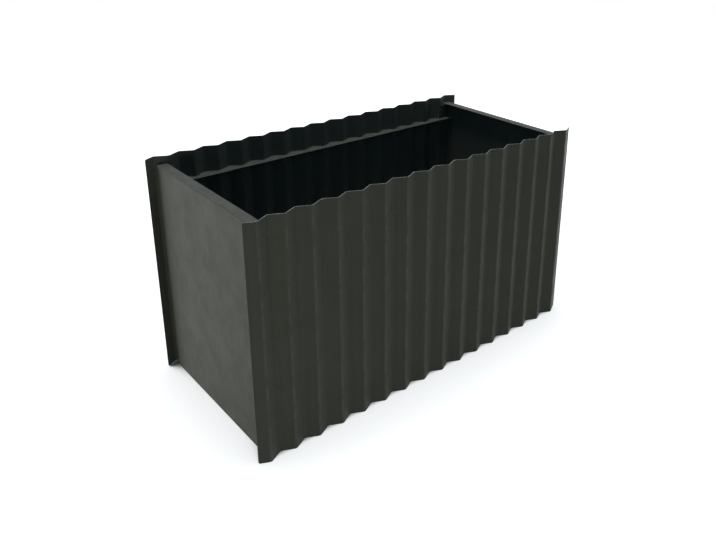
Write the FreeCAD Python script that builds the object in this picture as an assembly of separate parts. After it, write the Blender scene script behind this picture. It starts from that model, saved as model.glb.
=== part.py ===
import FreeCAD, Part
import math
import os

# Raised garden bed: two upright-ribbed long sheets, two folded end panels, two inner rails, rivets.
# It is open at the top and at the bottom and stands on the edges of its four walls.
# Millimetres. +X runs along the bed, +Y to its rear, +Z up. Origin: middle of the footprint.

# Long sheets
LENGTH = 1200.0        # end to end
WIDTH = 575.0          # outside of the front ribs to outside of the rear ribs
HEIGHT = 675.0
RIB_PITCH = 75.5
RIB_DEPTH = 17.0       # outside of a crest to outside of a valley
RIB_LAND = 5.0         # flat of a crest or valley, from bend line to bend line
FIRST_CREST = 29.75    # left end of the sheet to its first crest
SHEET_T = 0.8
SHEET_BEND = 3.0       # inside radius
SHEET_CORNER = 5.0     # rounding of the sheet's four corners

# End panels, folded from one blank each
PANEL_T = 1.2
PANEL_BEND = 2.5       # inside radius
PANEL_INSET = 29.5     # end of the sheets to the panel's outer face
PANEL_DROP = 22.0      # top of the sheets to the top of the panel
TOP_FLANGE = 31.0
FLANGE_SETBACK = 6.0   # start of the top bend to the top edge of the side flanges
RELIEF_SLIT = 2.0      # slit that frees the top flange from the side flanges
FLANGE_CORNER = 4.0    # rounding of the flanges' free corners
END_PLAY = 0.5         # ends of the top flange to the long sheets

# Inner rails: a level ledge, cut along its back to the ribs, with tabs folded down from it
RAIL_T = 1.5
RAIL_BEND = 2.0
RAIL_DROP = 57.0       # top of the end panels to the ledge
RAIL_LEDGE = 21.5      # straight edge of the ledge to the valleys' inner side
RAIL_PLAY = 1.0        # ledge to the ribs, the end panels and the rivet tails
RAIL_NOTCH_R = 3.0
RAIL_TAB = 18.0
RAIL_TAB_DROP = 32.0   # top of the ledge to the foot of a tab
RAIL_TAB_BEVEL = 3.0   # on the tab's free corners
RAIL_SLIT = 1.5        # slit on either side of a tab

# Blind rivets, eight-sided: they are too small for more
RIVET_D = 3.2
RIVET_SIDES = 8
RIVET_PLAY = 0.1       # shank to hole, on the radius
HEAD_D = 5.6
HEAD_H = 1.0
HEAD_TOP_D = 3.8
HEAD_PLAY = 0.05       # rim of the head to the flanks of the valley
TAIL_D = 4.8
TAIL_H = 2.0
SEAM_EDGE = 8.0        # rivet line to the free edge of the side flange
SEAM_CLEAR = 12.0      # least distance from the panel's outer face to the rivet line
SEAM_END = 14.0        # top rivet to the top edge of the side flange
SEAM_FOOT = 40.0       # lowest rivet above the ground
SEAM_PITCH = 150.0     # largest step between the rivets of a seam
RAIL_TAB_STEP = 2      # a tab with its rivet in every second valley

V = FreeCAD.Vector

# Places that several pieces share
x_left = -LENGTH / 2
valley_face = WIDTH / 2 - RIB_DEPTH          # outer side of the valleys
inner_face = valley_face - SHEET_T           # inner side of the valleys, where everything seats
panel_face = LENGTH / 2 - PANEL_INSET
panel_top = HEIGHT - PANEL_DROP
side_top = panel_top - PANEL_T - PANEL_BEND - FLANGE_SETBACK
rail_top = panel_top - RAIL_DROP
crest_count = int((LENGTH - FIRST_CREST) / RIB_PITCH) + 1
crests = [x_left + FIRST_CREST + i * RIB_PITCH for i in range(crest_count)]
valleys = [x + RIB_PITCH / 2 for x in crests if x + RIB_PITCH / 2 < LENGTH / 2]

# The seams use the outermost valleys that lie clear of the end panels' bends
seam_valleys = [x for x in valleys if abs(x) < panel_face - SEAM_CLEAR]
seam_x = {-1: seam_valleys[0], 1: seam_valleys[-1]}
side_flange = max(panel_face - abs(x) for x in seam_x.values()) + SEAM_EDGE
ribs_end = panel_face - side_flange - RAIL_PLAY    # the ledge reaches into the ribs up to here
rail_end = panel_face - PANEL_T - RAIL_PLAY
tab_space = RAIL_TAB / 2 + RAIL_SLIT
rail_x = [x for x in valleys if abs(x) < ribs_end - tab_space][::RAIL_TAB_STEP]
rail_z = rail_top - (RAIL_T + RAIL_BEND + RAIL_TAB_DROP) / 2
seam_run = side_top - SEAM_END - SEAM_FOOT
seam_steps = math.ceil(seam_run / SEAM_PITCH)
seam_z = [SEAM_FOOT + seam_run * i / seam_steps for i in range(seam_steps + 1)]


def left_of(d):
    return V(-d.y, d.x, 0)


def folded(points, t, r):
    """Face of a bent sheet in the XY plane. The points run along one side of the sheet, which lies
    t to their left. Every bend has the inside radius r."""
    near, far = [], []
    last = len(points) - 1
    for i, p in enumerate(points):
        a = (p - points[i - 1]).normalize() if i else None
        b = (points[i + 1] - p).normalize() if i < last else None
        if a is None or b is None:
            near.append([p])
            far.append([p + left_of(a or b) * t])
            continue
        turn = math.atan2(a.x * b.y - a.y * b.x, a.dot(b))
        side = math.copysign(1.0, turn)
        near_r, far_r = (r + t, r) if turn > 0 else (r, r + t)
        centre = p - a * near_r * math.tan(abs(turn) / 2) + left_of(a) * side * near_r
        ways = [a, (a + b).normalize(), b]
        near.append([centre - left_of(w) * side * near_r for w in ways])
        far.append([centre - left_of(w) * side * far_r for w in ways])
    stops = near + [s[::-1] for s in far[::-1]]
    edges = []
    for stop, following in zip(stops, stops[1:] + stops[:1]):
        if len(stop) == 3:
            edges.append(Part.Arc(*stop).toShape())
        edges.append(Part.makeLine(stop[-1], following[0]))
    return Part.Face(Part.Wire(edges))


def prism(face, x_axis, y_axis, base, length):
    """Extrudes a face of the XY plane after laying it along x_axis and y_axis at the base point."""
    z_axis = x_axis.cross(y_axis)
    m = FreeCAD.Matrix(x_axis.x, y_axis.x, z_axis.x, base.x,
                       x_axis.y, y_axis.y, z_axis.y, base.y,
                       x_axis.z, y_axis.z, z_axis.z, base.z,
                       0, 0, 0, 1)
    placed = face.copy()
    placed.transformShape(m)
    return placed.extrude(z_axis * length)


X, Y, Z = V(1, 0, 0), V(0, 1, 0), V(0, 0, 1)


def flip(shape, normal):
    return shape.mirror(V(0, 0, 0), normal)


def short_edges(shape, way, t, x):
    """Edges across a sheet of thickness t that run along way at this x: its free corners."""
    return [e for e in shape.Edges
            if abs(e.Length - t) < 1e-6 and abs(e.CenterOfMass.x - x) < 1e-6
            and abs(e.tangentAt(e.FirstParameter).dot(way)) > 0.999]


def ring(diameter, y):
    """Outline of a rivet or of its hole at y, centred on the Y axis."""
    turns = [2 * math.pi * (i + 0.5) / RIVET_SIDES for i in range(RIVET_SIDES + 1)]
    return Part.makePolygon([V(diameter / 2 * math.cos(a), y, diameter / 2 * math.sin(a))
                             for a in turns])


def bar(diameter, y, length):
    return Part.Face(ring(diameter, y)).extrude(Y * length)


def at_places(shape, places, y=0.0):
    """A copy of the shape at each (x, z)."""
    copies = []
    for x, z in places:
        copies.append(shape.copy())
        copies[-1].translate(V(x, y, z))
    return copies


def holes(places, y_from, y_to):
    return at_places(bar(RIVET_D + 2 * RIVET_PLAY, y_from, y_to - y_from), places)


seam_places = {end: [(seam_x[end], z) for z in seam_z] for end in (-1, 1)}
rail_places = [(x, rail_z) for x in rail_x]


def rib_line(gap=0.0):
    """The front sheet's outer side as a line of points, or a line at a gap inwards of it."""
    slope = math.atan2(RIB_DEPTH, RIB_PITCH / 2 - RIB_LAND)
    shift = gap * math.tan(slope / 2)
    line = []
    for i in range(-1, crest_count + 1):
        crest = x_left + FIRST_CREST + i * RIB_PITCH
        for x, y, half in ((crest, -WIDTH / 2, RIB_LAND / 2 - shift),
                           (crest + RIB_PITCH / 2, -valley_face, RIB_LAND / 2 + shift)):
            line += [V(x - half, y + gap, 0), V(x + half, y + gap, 0)]
    return line


def long_sheet():
    """The front sheet: ribs bent from end to end, cut to a blank with rounded corners."""
    ribbed = prism(folded(rib_line(), SHEET_T, SHEET_BEND), X, Y, V(0, 0, 0), HEIGHT)
    blank = Part.makeBox(LENGTH, RIB_DEPTH + 4 * SHEET_T, HEIGHT,
                         V(x_left, -WIDTH / 2 - SHEET_T, 0))
    corners = [e for e in blank.Edges if abs(e.tangentAt(e.FirstParameter).dot(Y)) > 0.999]
    sheet = ribbed.common(blank.makeFillet(SHEET_CORNER, corners))
    drilled = seam_places[-1] + seam_places[1] + rail_places
    return sheet.cut(holes(drilled, -valley_face - RIB_DEPTH, -inner_face + SHEET_T))


def end_panel(end):
    """Web with two side flanges and a top flange, folded towards the inside of the bed."""
    outline = [V(panel_face - side_flange, -inner_face, 0), V(panel_face, -inner_face, 0),
               V(panel_face, inner_face, 0), V(panel_face - side_flange, inner_face, 0)]
    tray = prism(folded(outline, PANEL_T, PANEL_BEND), X, Y, V(0, 0, 0), side_top)

    def top(z_from, half):
        line = [V(panel_face, z_from, 0), V(panel_face, panel_top, 0),
                V(panel_face - TOP_FLANGE, panel_top, 0)]
        return prism(folded(line, PANEL_T, PANEL_BEND), X, Z, V(0, half, 0), 2 * half)

    web_half = inner_face - PANEL_T - PANEL_BEND
    upper_web = top(side_top - FLANGE_SETBACK, web_half)
    full_top = top(side_top + RELIEF_SLIT, inner_face - END_PLAY)
    panel = tray.fuse([upper_web, full_top]).removeSplitter()
    free = short_edges(panel, Y, PANEL_T, panel_face - side_flange)
    free += short_edges(panel, Z, PANEL_T, panel_face - TOP_FLANGE)
    panel = panel.makeFillet(FLANGE_CORNER, free)
    if end < 0:
        panel = flip(panel, X)
    return panel.cut(holes(seam_places[end], -inner_face - 1, inner_face + 1))


def tab(x):
    """A tab of the front rail at x, with the bend that joins it to the ledge."""
    line = [V(-inner_face + RAIL_T + RAIL_BEND + RAIL_T, rail_top, 0), V(-inner_face, rail_top, 0),
            V(-inner_face, rail_top - RAIL_TAB_DROP, 0)]
    piece = prism(folded(line, RAIL_T, RAIL_BEND), Y, Z, V(x - RAIL_TAB / 2, 0, 0), RAIL_TAB)
    foot = [e for e in piece.Edges if abs(e.Length - RAIL_T) < 1e-6
            and abs(e.CenterOfMass.z - rail_top + RAIL_TAB_DROP) < 1e-6]
    return piece.makeChamfer(RAIL_TAB_BEVEL, foot)


def rail():
    """The front rail. Past the side flanges only a strip of the ledge goes on, clear of them and
    of the rivet tails, up to the end panels."""
    edge = -inner_face + RAIL_LEDGE
    line = rib_line(SHEET_T + RAIL_PLAY)
    line = [V(line[0].x, edge, 0)] + line + [V(line[-1].x, edge, 0)]
    ledge = prism(Part.Face(Part.makePolygon(line + line[:1])), X, Y, V(0, 0, rail_top - RAIL_T),
                  RAIL_T)
    deep = WIDTH / 2 - inner_face
    ledge = ledge.common(Part.makeBox(2 * rail_end, deep + RAIL_LEDGE, 2 * RAIL_T,
                                      V(-rail_end, -WIDTH / 2, rail_top - 1.5 * RAIL_T)))
    depth = PANEL_T + TAIL_H + RAIL_PLAY
    openings = []
    for end in (-1, 1):
        reach = rail_end - ribs_end + 2 * RAIL_NOTCH_R
        x = ribs_end if end > 0 else -ribs_end - reach
        notch = Part.makeBox(reach, deep + depth, 3 * RAIL_T,
                             V(x, -WIDTH / 2, rail_top - 2 * RAIL_T))
        inner = [e for e in notch.Edges if abs(e.CenterOfMass.x - end * ribs_end) < 1e-6
                 and abs(e.CenterOfMass.y + inner_face - depth) < 1e-6]
        openings.append(notch.makeFillet(RAIL_NOTCH_R, inner))
    for x in rail_x:
        openings.append(Part.makeBox(2 * tab_space, deep + RAIL_T + RAIL_BEND, 3 * RAIL_T,
                                     V(x - tab_space, -WIDTH / 2, rail_top - 2 * RAIL_T)))
    whole = ledge.cut(openings).fuse([tab(x) for x in rail_x]).removeSplitter()
    return whole.cut(holes(rail_places, -inner_face - 1, -inner_face + RAIL_LEDGE))


def valley_rise(x):
    """Height of the valley's outer side above its flat, x from the middle of the valley."""
    slope = math.atan2(RIB_DEPTH, RIB_PITCH / 2 - RIB_LAND)
    flat = RIB_LAND / 2 - SHEET_BEND * math.tan(slope / 2)
    arc = min(max(x - flat, 0.0), SHEET_BEND * math.sin(slope))
    rise = SHEET_BEND - math.sqrt(SHEET_BEND ** 2 - arc ** 2)
    return rise + max(x - flat - arc, 0.0) * math.tan(slope)


def rivet(grip):
    """Along +Y: head outside the valley, shank through the holes, drum-shaped tail inside.
    The grip is what the rivet holds together, from the valley's outer flat to the tail."""
    lift = valley_rise(HEAD_D / 2) + HEAD_PLAY
    head = Part.makeLoft([ring(HEAD_TOP_D, -lift - HEAD_H), ring(HEAD_D, -lift)], True, True)
    shank = bar(RIVET_D, -lift, lift + grip)
    tail = bar(TAIL_D, grip, TAIL_H)
    return head.fuse([shank, tail]).removeSplitter()


def rivets(places, grip):
    """The front rivets at the (x, z) places."""
    return Part.makeCompound(at_places(rivet(grip), places, -valley_face))


nodes = {}
nodes["front_corrugated_sheet"] = long_sheet()
nodes["rear_corrugated_sheet"] = flip(nodes["front_corrugated_sheet"], Y)
nodes["left_end_panel"] = end_panel(-1)
nodes["right_end_panel"] = end_panel(1)
nodes["front_inner_rail"] = rail()
nodes["rear_inner_rail"] = flip(nodes["front_inner_rail"], Y)
nodes["front_left_corner_rivets"] = rivets(seam_places[-1], SHEET_T + PANEL_T)
nodes["front_right_corner_rivets"] = rivets(seam_places[1], SHEET_T + PANEL_T)
nodes["front_rail_rivets"] = rivets(rail_places, SHEET_T + RAIL_T)
for name in ("left_corner", "right_corner", "rail"):
    nodes["rear_%s_rivets" % name] = flip(nodes["front_%s_rivets" % name], Y)

os.makedirs("parts", exist_ok=True)
for name, shape in nodes.items():
    shape.exportStep("parts/%s.step" % name)
    box = shape.BoundBox
    print("%-26s %2d solids, valid %s, %.1f cm3, x %.1f..%.1f y %.1f..%.1f z %.1f..%.1f" % (
        name, len(shape.Solids), shape.isValid(), shape.Volume / 1000,
        box.XMin, box.XMax, box.YMin, box.YMax, box.ZMin, box.ZMax))
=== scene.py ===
import math

import bpy
import numpy as np
from mathutils import Matrix, Vector


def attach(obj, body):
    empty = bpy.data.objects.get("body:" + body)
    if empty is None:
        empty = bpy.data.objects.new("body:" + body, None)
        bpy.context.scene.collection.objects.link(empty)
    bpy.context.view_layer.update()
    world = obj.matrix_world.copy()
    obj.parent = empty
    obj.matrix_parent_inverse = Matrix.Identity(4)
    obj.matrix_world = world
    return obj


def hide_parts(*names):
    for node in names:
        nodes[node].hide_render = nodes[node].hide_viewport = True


# A raised garden bed of coated sheet metal on a pale studio floor. Metres, the CAD frame.

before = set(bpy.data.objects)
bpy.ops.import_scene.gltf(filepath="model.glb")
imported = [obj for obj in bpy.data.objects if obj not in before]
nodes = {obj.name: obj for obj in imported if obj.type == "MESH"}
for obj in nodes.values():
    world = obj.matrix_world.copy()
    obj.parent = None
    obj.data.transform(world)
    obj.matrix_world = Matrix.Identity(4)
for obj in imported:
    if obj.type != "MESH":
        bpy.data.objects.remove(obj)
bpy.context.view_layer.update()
X, Y, Z = 0, 1, 2

# Measures of the bed that its finishes follow
HALF_WIDTH, HEIGHT = 0.2875, 0.675
VALLEY_INNER = 0.2697              # inner side of the long sheets' valleys
PANEL_BEND = 0.6514                # middle of the bend under the end panels' top edge
SIDE_FLANGE_EDGE, SIDE_FLANGE_TOP = 0.5165, 0.6433
TOP_FLANGE_EDGE, TOP_FLANGE_END = 0.5395, 0.2692
RAIL_EDGE, TAB_FOOT = 0.2482, 0.564


# ---- Camera: the photograph's viewpoint, as a pinhole

PICTURE_WIDTH, PICTURE_HEIGHT = 716.0, 540.0       # pixels, as are the next three
FOCAL, CENTRE_X, CENTRE_Y = 722.17, 420.0, 160.0
CAMERA_PLACE = (-1.29775, -1.64038, 1.35500)
YAW, PITCH, ROLL = 0.73454, 0.33874, 0.01848       # radians
SENSOR_WIDTH = 36.0                                # mm
CLIP_NEAR, CLIP_FAR = 0.05, 60.0


def photo_camera():
    """Axes from yaw, pitch and roll; the lens from the focal length in pixels; the shift from the
    principal point, which lies right of and above the middle of the frame."""
    ahead = Vector((math.sin(YAW) * math.cos(PITCH), math.cos(YAW) * math.cos(PITCH),
                    -math.sin(PITCH)))
    level = Vector((math.cos(YAW), -math.sin(YAW), 0.0))
    upright = level.cross(ahead)
    right = level * math.cos(ROLL) + upright * math.sin(ROLL)
    up = upright * math.cos(ROLL) - level * math.sin(ROLL)
    lens = bpy.data.cameras.new("photo_camera")
    lens.sensor_fit, lens.sensor_width = "HORIZONTAL", SENSOR_WIDTH
    lens.lens = FOCAL / PICTURE_WIDTH * SENSOR_WIDTH
    lens.shift_x = (PICTURE_WIDTH / 2 - CENTRE_X) / PICTURE_WIDTH
    lens.shift_y = (CENTRE_Y - PICTURE_HEIGHT / 2) / PICTURE_WIDTH
    lens.clip_start, lens.clip_end = CLIP_NEAR, CLIP_FAR
    camera = bpy.data.objects.new("photo_camera", lens)
    bpy.context.scene.collection.objects.link(camera)
    rows = [(right[i], up[i], -ahead[i], CAMERA_PLACE[i]) for i in (X, Y, Z)]
    camera.matrix_world = Matrix(rows + [(0.0, 0.0, 0.0, 1.0)])
    bpy.context.scene.camera = camera


# ---- Node work that the materials, the floor and the sky share

MIX_FIRST, MIX_SECOND, MIX_RESULT = 6, 7, 2        # the colour sockets of a Mix node
NOISE_LOW, NOISE_HIGH = 0.30, 0.70                 # between these lies most of a noise
EVEN = (1.0, 1.0, 1.0)
CUT_WINDOW = 0.0004                                # how far off its value a cut face may lie
SQUARE_ON = 0.9                                    # least part of a normal along its axis


class Nodes:
    """The nodes of one material or world, added by short calls. A source is a socket or a
    number."""

    def __init__(self, tree):
        self.tree = tree
        self.coords = None

    def add(self, kind, **settings):
        node = self.tree.nodes.new("ShaderNode" + kind)
        for name, value in settings.items():
            setattr(node, name, value)
        return node

    def feed(self, socket, source):
        if isinstance(source, bpy.types.NodeSocket):
            self.tree.links.new(source, socket)
        else:
            socket.default_value = source

    def math(self, operation, *sources):
        node = self.add("Math", operation=operation)
        for socket, source in zip(node.inputs, sources):
            self.feed(socket, source)
        return node.outputs[0]

    def place(self):
        """Object coordinates, their x, y and z, and the x, y and z of the way a face looks."""
        if self.coords is None:
            where = self.add("TexCoord")
            split, facing = self.add("SeparateXYZ"), self.add("SeparateXYZ")
            self.feed(split.inputs[0], where.outputs["Object"])
            self.feed(facing.inputs[0], where.outputs["Normal"])
            self.coords = where.outputs["Object"], split.outputs, facing.outputs
        return self.coords

    def noise(self, size, detail=2.0, stretch=EVEN):
        """Noise whose spots are about this size in metres, longer along an axis that is
        stretched."""
        mapping, spots = self.add("Mapping"), self.add("TexNoise")
        self.feed(mapping.inputs["Vector"], self.place()[0])
        self.feed(mapping.inputs["Scale"], [1.0 / s for s in stretch])
        self.feed(spots.inputs["Vector"], mapping.outputs[0])
        self.feed(spots.inputs["Scale"], 1.0 / size)
        self.feed(spots.inputs["Detail"], detail)
        return spots.outputs[0]

    def span(self, source, low, high, to_low=0.0, to_high=1.0):
        """A smooth step of the source from low to high."""
        node = self.add("MapRange", interpolation_type="SMOOTHSTEP")
        for name, value in (("Value", source), ("From Min", low), ("From Max", high),
                            ("To Min", to_low), ("To Max", to_high)):
            self.feed(node.inputs[name], value)
        return node.outputs[0]

    def drift(self, to_low, to_high, size, detail=2.0, stretch=EVEN):
        """Noise that wanders between two values."""
        return self.span(self.noise(size, detail, stretch), NOISE_LOW, NOISE_HIGH, to_low, to_high)

    def blend(self, amount, first, second):
        node = self.add("Mix", data_type="RGBA", clamp_factor=True)
        self.feed(node.inputs["Factor"], amount)
        self.feed(node.inputs[MIX_FIRST], first)
        self.feed(node.inputs[MIX_SECOND], second)
        return node.outputs[MIX_RESULT]

    def tinted(self, colour, factor):
        node = self.add("VectorMath", operation="SCALE")
        self.feed(node.inputs[0], colour)
        self.feed(node.inputs["Scale"], factor)
        return node.outputs[0]

    def bump(self, strength, distance, height):
        node = self.add("Bump")
        for name, value in (("Strength", strength), ("Distance", distance), ("Height", height)):
            self.feed(node.inputs[name], value)
        return node

    def near(self, axis, value, reach):
        """1 where the distance from the middle along an axis is this value, 0 past the reach."""
        off = self.math("ABSOLUTE", self.place()[1][axis])
        off = self.math("ABSOLUTE", self.math("SUBTRACT", off, value))
        return self.span(off, 0.0, reach, 1.0, 0.0)

    def cut_face(self, axis, value):
        """1 on the faces that square off the sheet at this value of an axis, on both sides."""
        at = self.math("COMPARE", self.math("ABSOLUTE", self.place()[1][axis]), value, CUT_WINDOW)
        looks = self.math("ABSOLUTE", self.place()[2][axis])
        return self.math("MULTIPLY", at, self.math("GREATER_THAN", looks, SQUARE_ON))

    def any_of(self, masks):
        whole = masks[0]
        for mask in masks[1:]:
            whole = self.math("MAXIMUM", whole, mask)
        return whole

    def by_ray(self, matt, background, out):
        """One shader lights the bed's matt surfaces. The camera, gloss and glass see the other."""
        path = self.add("LightPath")
        seen = self.any_of([path.outputs["Is " + ray + " Ray"]
                            for ray in ("Camera", "Glossy", "Transmission")])
        mix = self.add("MixShader")
        self.feed(mix.inputs["Fac"], seen)
        self.feed(mix.inputs[1], matt.outputs[0])
        self.feed(mix.inputs[2], background.outputs[0])
        self.feed(out.inputs["Surface"], mix.outputs[0])


def cleared(owner):
    """The node work of a material or world, emptied."""
    owner.use_nodes = True
    owner.node_tree.nodes.clear()
    return Nodes(owner.node_tree)


def linear(hex_colour):
    """Linear RGB of an sRGB hex colour."""
    c = np.array([int(hex_colour[i:i + 2], 16) for i in (1, 3, 5)]) / 255.0
    c = np.where(c <= 0.04045, c / 12.92, ((c + 0.055) / 1.055) ** 2.4)
    return (float(c[0]), float(c[1]), float(c[2]), 1.0)


# ---- Light: soft boxes round the bed and overhead, a dim sky, a floor that throws light back

WHITE, CREAM, WARM = (1.0, 1.0, 1.0), (1.0, 0.98, 0.90), (1.0, 0.95, 0.72)
SKY, COOL = (0.14, 0.62, 1.0), (0.99, 1.0, 0.96)
SKY_STRENGTH = 0.12
BOX_HEIGHT, BOX_MIDDLE = 0.58, 0.31
LOW_BOXES = {                      # x, y, the x and y it aims at, width, watts, tint
    "left_soft_box": (-2.3, 1.2, -0.4, 0.1, 1.8, 22.2, CREAM),
    "right_soft_box": (2.3, -2.3, 0.3, 0.0, 2.2, 7.5, WARM),
    "front_soft_box": (-1.8, -2.4, -0.3, 0.0, 2.0, 15.4, WARM),
    "rear_soft_box": (0.9, 2.8, 0.0, 0.0, 2.4, 14.0, WHITE),
    "far_right_soft_box": (2.8, 0.6, 0.0, 0.0, 2.0, 14.0, WHITE)}
TOP_BOX_PLACE, TOP_BOX_AIM = (0.0, 0.15, 3.6), (0.0, 0.0, 0.6)
TOP_BOX_SIDE, TOP_BOX_WATTS = 1.0, 43.0


def soft_box(name, place, aim, width, height, watts, tint):
    lamp = bpy.data.lights.new(name, "AREA")
    lamp.shape, lamp.size, lamp.size_y = "RECTANGLE", width, height
    lamp.energy, lamp.color = watts, tint
    box = bpy.data.objects.new(name, lamp)
    bpy.context.scene.collection.objects.link(box)
    box.location = place
    box.rotation_euler = (Vector(aim) - Vector(place)).to_track_quat("-Z", "Y").to_euler()


def studio():
    """The low boxes stay below the bed's walls, so that they light them from outside and leave
    the inside to the overhead box and the sky."""
    for name, (x, y, aim_x, aim_y, width, watts, tint) in LOW_BOXES.items():
        soft_box(name, (x, y, BOX_MIDDLE), (aim_x, aim_y, BOX_MIDDLE), width, BOX_HEIGHT, watts,
                 tint)
    soft_box("top_soft_box", TOP_BOX_PLACE, TOP_BOX_AIM, TOP_BOX_SIDE, TOP_BOX_SIDE,
             TOP_BOX_WATTS, COOL)
    world = bpy.data.worlds.new("studio_sky")
    bpy.context.scene.world = world
    sky = cleared(world)
    dim, white = sky.add("Background"), sky.add("Background")
    for shade, tint, strength in ((dim, SKY, SKY_STRENGTH), (white, WHITE, 1.0)):
        shade.inputs["Color"].default_value = (*tint, 1.0)
        shade.inputs["Strength"].default_value = strength
    sky.by_ray(dim, white, sky.add("OutputWorld"))


FLOOR_RADIUS, FLOOR_SIDES, FLOOR_LEVEL = 9.0, 64, -0.0005
FLOOR_GLOW, FLOOR_SHADE = 1.0, 0.22                # the glow, and how far it sinks in the shadow
FLOOR_MATT, FLOOR_PALE = (0.28, 0.28, 0.26, 1.0), (0.60, 0.60, 0.60, 1.0)
AIR_REACH, AIR_SAMPLES = 1.0, 24                   # how far round it the floor feels the bed
SHADOW_AIR = 0.45, 1.0                             # share of open air across the shadow
INSIDE_AIR = 0.34, 0.46                            # and across the step to the bed's inside


def studio_floor():
    """A disc at ground level. A glow of its own brings it up to white for the camera. Where the
    bed hides the open air from it, the glow sinks, so that the bed's soft shadow stays there, and
    inside the four walls it goes out."""
    turns = np.linspace(0, 2 * np.pi, FLOOR_SIDES, endpoint=False)
    rim = np.stack([FLOOR_RADIUS * np.cos(turns), FLOOR_RADIUS * np.sin(turns),
                    np.full(FLOOR_SIDES, FLOOR_LEVEL)], axis=1)
    mesh = bpy.data.meshes.new("studio_floor")
    mesh.from_pydata(rim.tolist(), [], [list(range(FLOOR_SIDES))])
    floor = bpy.data.objects.new("studio_floor", mesh)
    bpy.context.scene.collection.objects.link(floor)
    mat = bpy.data.materials.new("pale_floor")
    ground = cleared(mat)
    matt, pale = ground.add("BsdfDiffuse"), ground.add("BsdfDiffuse")
    glow, both = ground.add("Emission"), ground.add("AddShader")
    open_air = ground.add("AmbientOcclusion", samples=AIR_SAMPLES)
    open_air.inputs["Distance"].default_value = AIR_REACH
    matt.inputs["Color"].default_value = FLOOR_MATT
    pale.inputs["Color"].default_value = FLOOR_PALE
    air = open_air.outputs["AO"]
    shade = ground.span(air, *SHADOW_AIR, FLOOR_GLOW - FLOOR_SHADE, FLOOR_GLOW)
    strength = ground.math("MULTIPLY", shade, ground.span(air, *INSIDE_AIR))
    ground.feed(glow.inputs["Strength"], strength)
    ground.feed(both.inputs[0], pale.outputs[0])
    ground.feed(both.inputs[1], glow.outputs[0])
    ground.by_ray(matt, both, ground.add("OutputMaterial"))
    mesh.materials.append(mat)


# ---- Finishes

SHEET_PAINT, PANEL_PAINT, RAIL_PAINT = "#4e504a", "#50524d", "#4e514c"
# WORN_AND_HIGHLIT_PAINT is the paler paint of scratches and handling marks, and of the folds,
# where it is also a painted highlight
ZINC, WORN_AND_HIGHLIT_PAINT, DUST, ALUMINIUM = "#b9bcbc", "#7f827c", "#9a968a", "#6f7271"
SHEEN = 0.11                       # the coating's specular level: a matt polyester
CHIP_REACH = 0.0022                # how far from a cut edge the coating may have flaked
UPRIGHT_STREAKS = (1.0, 1.0, 60.0)
UPRIGHT_SCRATCHES = (1.0, 1.0, 22.0)


def finish(name):
    """A new material, its shader and its nodes."""
    mat = bpy.data.materials.new(name)
    mat.use_nodes = True
    shader = mat.node_tree.nodes["Principled BSDF"]
    shader.inputs["Specular IOR Level"].default_value = SHEEN
    return mat, shader, Nodes(mat.node_tree)


def coating(name, colour, cuts, chipped, creases, level_dust=0.0):
    """Matt coil coating on zinc. Its tone drifts over a hand's breadth and runs in faint upright
    streaks from the roll; a fine grain breaks up the gloss. cuts lists (axis, value) of the square
    cut edges, where the zinc shows, and chipped those next to which the coating has flaked.
    creases lists (axis, value, reach) of the folds, which are a little paler and smoother: rubbing
    wore them, and their paleness is also a painted highlight where the bends catch the light. Dust
    lies on what faces up."""
    mat, paint, n = finish(name)

    breadth = n.drift(0.98, 1.02, size=0.22, detail=3.0)
    streaks = n.drift(0.965, 1.035, size=0.011, stretch=UPRIGHT_STREAKS)
    mottle = n.drift(0.97, 1.03, size=0.0035, detail=3.0)
    shade = n.math("MULTIPLY", n.math("MULTIPLY", breadth, streaks), mottle)
    tone = n.tinted(linear(colour)[:3], shade)

    # Paler folds: partly rubbed paint, partly a painted highlight along the bends
    rubbed_and_highlit = n.any_of([n.near(axis, value, reach) for axis, value, reach in creases])
    patchy = n.noise(size=0.030, detail=4.0)
    rubbed_and_highlit = n.math("MULTIPLY", rubbed_and_highlit, n.span(patchy, 0.35, 0.65, 0.06, 0.24))
    tone = n.blend(rubbed_and_highlit, tone, linear(WORN_AND_HIGHLIT_PAINT))

    hair_lines = n.noise(size=0.0016, detail=1.0, stretch=UPRIGHT_SCRATCHES)
    handled = n.span(n.noise(size=0.14), 0.55, 0.70, 0.0, 0.30)
    scratch = n.math("MULTIPLY", n.span(hair_lines, 0.735, 0.76), handled)
    tone = n.blend(scratch, tone, linear(WORN_AND_HIGHLIT_PAINT))

    if level_dust:
        up = n.span(n.place()[2][Z], 0.6, 0.95)
        settled = n.span(n.noise(size=0.018, detail=4.0), 0.25, 0.75, 0.0, level_dust)
        tone = n.blend(n.math("MULTIPLY", up, settled), tone, linear(DUST))

    chips = n.span(n.noise(size=0.0024, detail=3.0), 0.60, 0.66)
    by_edge = n.any_of([n.near(axis, value, CHIP_REACH) for axis, value in chipped])
    bare = n.math("MULTIPLY", chips, n.span(by_edge, 0.35, 0.9))
    bare = n.any_of([bare] + [n.cut_face(axis, value) for axis, value in cuts])
    n.feed(paint.inputs["Base Color"], n.blend(bare, tone, linear(ZINC)))
    n.feed(paint.inputs["Metallic"], n.math("MULTIPLY", bare, 0.6))

    rough = n.drift(0.50, 0.62, size=0.05, detail=3.0)
    rough = n.math("SUBTRACT", rough, n.math("MULTIPLY", n.any_of([rubbed_and_highlit, scratch]), 0.25))
    n.feed(paint.inputs["Roughness"], n.math("SUBTRACT", rough, n.math("MULTIPLY", bare, 0.12)))

    grain = n.bump(0.5, 0.00008, n.noise(size=0.0011))
    waver = n.bump(0.35, 0.0012, n.noise(size=0.16, detail=1.0))
    n.feed(waver.inputs["Normal"], grain.outputs[0])
    n.feed(paint.inputs["Normal"], waver.outputs[0])
    return mat


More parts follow.
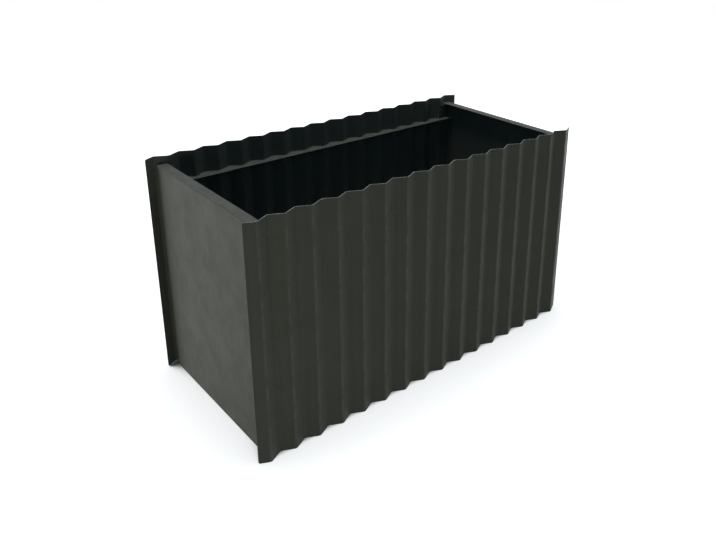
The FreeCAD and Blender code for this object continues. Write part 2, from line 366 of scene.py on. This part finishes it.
def rivet_finish():
    """Painted like the walls outside; the tail and the broken stem are bare aluminium, which the
    piece's own attribute says. Tiny handling marks on the crown."""
    mat, body, n = finish("painted_rivet")
    bare = n.add("Attribute", attribute_name="bare_metal").outputs["Fac"]
    marks = n.span(n.noise(size=0.0007, detail=3.0), 0.58, 0.66, 0.0, 0.35)
    tone = n.tinted(linear(SHEET_PAINT)[:3], n.drift(0.9, 1.1, size=0.002))
    tone = n.blend(marks, tone, linear(WORN_AND_HIGHLIT_PAINT))
    metal = n.tinted(linear(ALUMINIUM)[:3], n.drift(0.8, 1.05, size=0.0009))
    n.feed(body.inputs["Base Color"], n.blend(bare, tone, metal))
    n.feed(body.inputs["Metallic"], bare)
    n.feed(body.inputs["Roughness"], n.span(bare, 0.0, 1.0, 0.5, 0.45))
    dents = n.bump(0.4, 0.00006, n.noise(size=0.0008))
    n.feed(body.inputs["Normal"], dents.outputs[0])
    return mat


def dress(names, mat):
    for name in names:
        nodes[name].data.materials.clear()
        nodes[name].data.materials.append(mat)


# ---- Round rivets in the place of the eight-sided ones

HEAD_R, SHANK_R, TAIL_R = 0.0028, 0.0016, 0.0024
HEAD_H, TAIL_H = 0.0010, 0.0020
RIM_H = 0.00012                    # straight rim under the crown
STEM_R, STEM_DEPTH = 0.00085, 0.0004
LIP_R, LIP_DEPTH, CROWN_R = 0.00100, 0.00008, 0.00115   # round the hole of the stem
KNOB_R, KNOB_H = 0.00125, 0.00045  # head of the stem, past the tail
SWELL_FROM, SWELL_SPAN = 0.06, 0.88                # part of the half sine that the barrel takes
CROWN_STEPS, BARREL_STEPS, KNOB_STEPS, ROUND_STEPS = 9, 9, 6, 28
SHARP_ANGLE = math.radians(38.0)
ROW_GAP = 0.020                    # less than this lie one rivet's points apart, more the rivets


def rings(radius, depth, bare):
    """Rows of radius, depth from the crown, and bareness."""
    return np.stack(np.broadcast_arrays(radius, depth, bare), axis=1)


def rivet_profile(length):
    """The crown is a quarter of an ellipse round the hole of the broken stem; the shank is
    straight; the tail is a barrel, whose radius swells with the square root of a sine, and ends in
    the round head of the stem. The first and the last row are the poles."""
    turn = np.linspace(0.0, np.pi / 2, CROWN_STEPS)
    swell = np.linspace(0.0, 1.0, BARREL_STEPS)
    bulge = np.sqrt(np.sin(np.pi * (SWELL_FROM + SWELL_SPAN * swell)))
    knob = np.linspace(0.0, np.pi / 2, KNOB_STEPS)
    return np.concatenate([
        [(0.0, STEM_DEPTH, 1.0), (STEM_R * 0.9, STEM_DEPTH, 1.0),
         (STEM_R, STEM_DEPTH * 1.3, 1.0), (LIP_R, LIP_DEPTH, 0.0)],
        rings(CROWN_R + (HEAD_R - CROWN_R) * np.sin(turn),
              (HEAD_H - RIM_H) * (1.0 - np.cos(turn)), 0.0),
        [(HEAD_R, HEAD_H, 0.0), (SHANK_R, HEAD_H, 0.0), (SHANK_R, length - TAIL_H, 1.0)],
        rings(SHANK_R + (TAIL_R - SHANK_R) * bulge,
              length - TAIL_H + swell * (TAIL_H - KNOB_H), 1.0),
        rings(KNOB_R * np.cos(knob), length - KNOB_H + KNOB_H * np.sin(knob), 1.0)])


def revolved(centres, crown_y, length, inward):
    """Vertices, faces and bareness of one rivet after another: each ring of the profile turns
    about the rivet's axis, x = cx + r cos a, z = cz + r sin a, y = crown + inward * depth."""
    radius, depth, bare = rivet_profile(length).T
    turns = np.arange(ROUND_STEPS) * 2.0 * np.pi / ROUND_STEPS
    count = len(radius) - 2
    ring_r, ring_depth = radius[1:-1, None], depth[1:-1, None]
    x, z = ring_r * np.cos(turns), ring_r * np.sin(turns)
    y = np.broadcast_to(inward * ring_depth, x.shape)
    body = np.stack([x, y, z], axis=2).reshape(-1, 3)
    poles = np.array([[0.0, inward * depth[0], 0.0], [0.0, inward * depth[-1], 0.0]])
    one = np.concatenate([body, poles])
    place = np.stack([centres[:, 0], np.full(len(centres), crown_y), centres[:, 1]], axis=1)
    verts = (place[:, None, :] + one[None, :, :]).reshape(-1, 3)

    i, j = np.meshgrid(np.arange(count - 1), np.arange(ROUND_STEPS), indexing="ij")
    this, after = i * ROUND_STEPS, (i + 1) * ROUND_STEPS
    j_next = (j + 1) % ROUND_STEPS
    quads = np.stack([this + j, after + j, after + j_next, this + j_next], axis=-1).reshape(-1, 4)
    k = np.arange(ROUND_STEPS)
    k_next = (k + 1) % ROUND_STEPS
    last = (count - 1) * ROUND_STEPS
    near_pole, far_pole = (np.full_like(k, count * ROUND_STEPS + end) for end in (0, 1))
    caps = np.concatenate([np.stack([near_pole, k, k_next], axis=1),
                           np.stack([far_pole, last + k_next, last + k], axis=1)])
    if inward > 0:
        quads, caps = quads[:, ::-1], caps[:, ::-1]
    shifts = np.arange(len(centres))[:, None, None] * len(one)
    faces = [tuple(face) for kind in (quads, caps)
             for face in (kind[None] + shifts).reshape(-1, kind.shape[1]).tolist()]
    ring_bare = np.concatenate([np.repeat(bare[1:-1], ROUND_STEPS), [bare[0], bare[-1]]])
    return verts, faces, np.tile(ring_bare, len(centres))


def node_points(node):
    mesh = nodes[node].data
    points = np.empty(len(mesh.vertices) * 3, dtype=np.float32)
    mesh.vertices.foreach_get("co", points)
    return points.reshape(-1, 3).astype(float)


def rivet_places(points):
    """(x, z) of each rivet of a row: along x + z the rivets lie apart, so a jump in the sorted
    sums starts the next one."""
    row = points[np.argsort(points[:, X] + points[:, Z])]
    starts = np.nonzero(np.diff(row[:, X] + row[:, Z]) > ROW_GAP)[0] + 1
    middles = [(group.min(axis=0) + group.max(axis=0)) / 2 for group in np.split(row, starts)]
    return np.array(middles)[:, [X, Z]]


def round_rivets(node, mat):
    points = node_points(node)
    low, high = points[:, Y].min(), points[:, Y].max()
    front = low < 0.0
    verts, faces, bare = revolved(rivet_places(points), low if front else high, high - low,
                                  1.0 if front else -1.0)
    mesh = bpy.data.meshes.new("round_" + node)
    mesh.from_pydata(verts.tolist(), [], faces)
    mesh.polygons.foreach_set("use_smooth", np.ones(len(faces), dtype=bool))
    mesh.set_sharp_from_angle(angle=SHARP_ANGLE)
    mesh.attributes.new("bare_metal", "FLOAT", "POINT").data.foreach_set("value", bare)
    mesh.materials.append(mat)
    piece = bpy.data.objects.new("round_" + node, mesh)
    bpy.context.scene.collection.objects.link(piece)
    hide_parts(node)
    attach(piece, "root")


# ---- The whole

photo_camera()
studio()
studio_floor()

dress(("front_corrugated_sheet", "rear_corrugated_sheet"),
      coating("coated_ribbed_sheet", SHEET_PAINT,
              cuts=[(Z, HEIGHT), (Z, 0.0)], chipped=[(Z, HEIGHT), (Z, 0.0)],
              creases=[(Y, HALF_WIDTH, 0.0010)]))
dress(("left_end_panel", "right_end_panel"),
      coating("coated_end_panel", PANEL_PAINT,
              cuts=[(Z, 0.0), (Z, SIDE_FLANGE_TOP), (X, SIDE_FLANGE_EDGE), (X, TOP_FLANGE_EDGE),
                    (Y, TOP_FLANGE_END)],
              chipped=[(Z, 0.0), (X, SIDE_FLANGE_EDGE)],
              creases=[(Z, PANEL_BEND, 0.0022)], level_dust=0.14))
dress(("front_inner_rail", "rear_inner_rail"),
      coating("coated_rail", RAIL_PAINT,
              cuts=[(Y, RAIL_EDGE), (Z, TAB_FOOT)], chipped=[(Y, RAIL_EDGE)],
              creases=[(Y, VALLEY_INNER, 0.0030)], level_dust=0.14))
rivet_coat = rivet_finish()
for rivet_node in sorted(name for name in nodes if name.endswith("_rivets")):
    round_rivets(rivet_node, rivet_coat)

bpy.context.scene.view_settings.view_transform = "Standard"
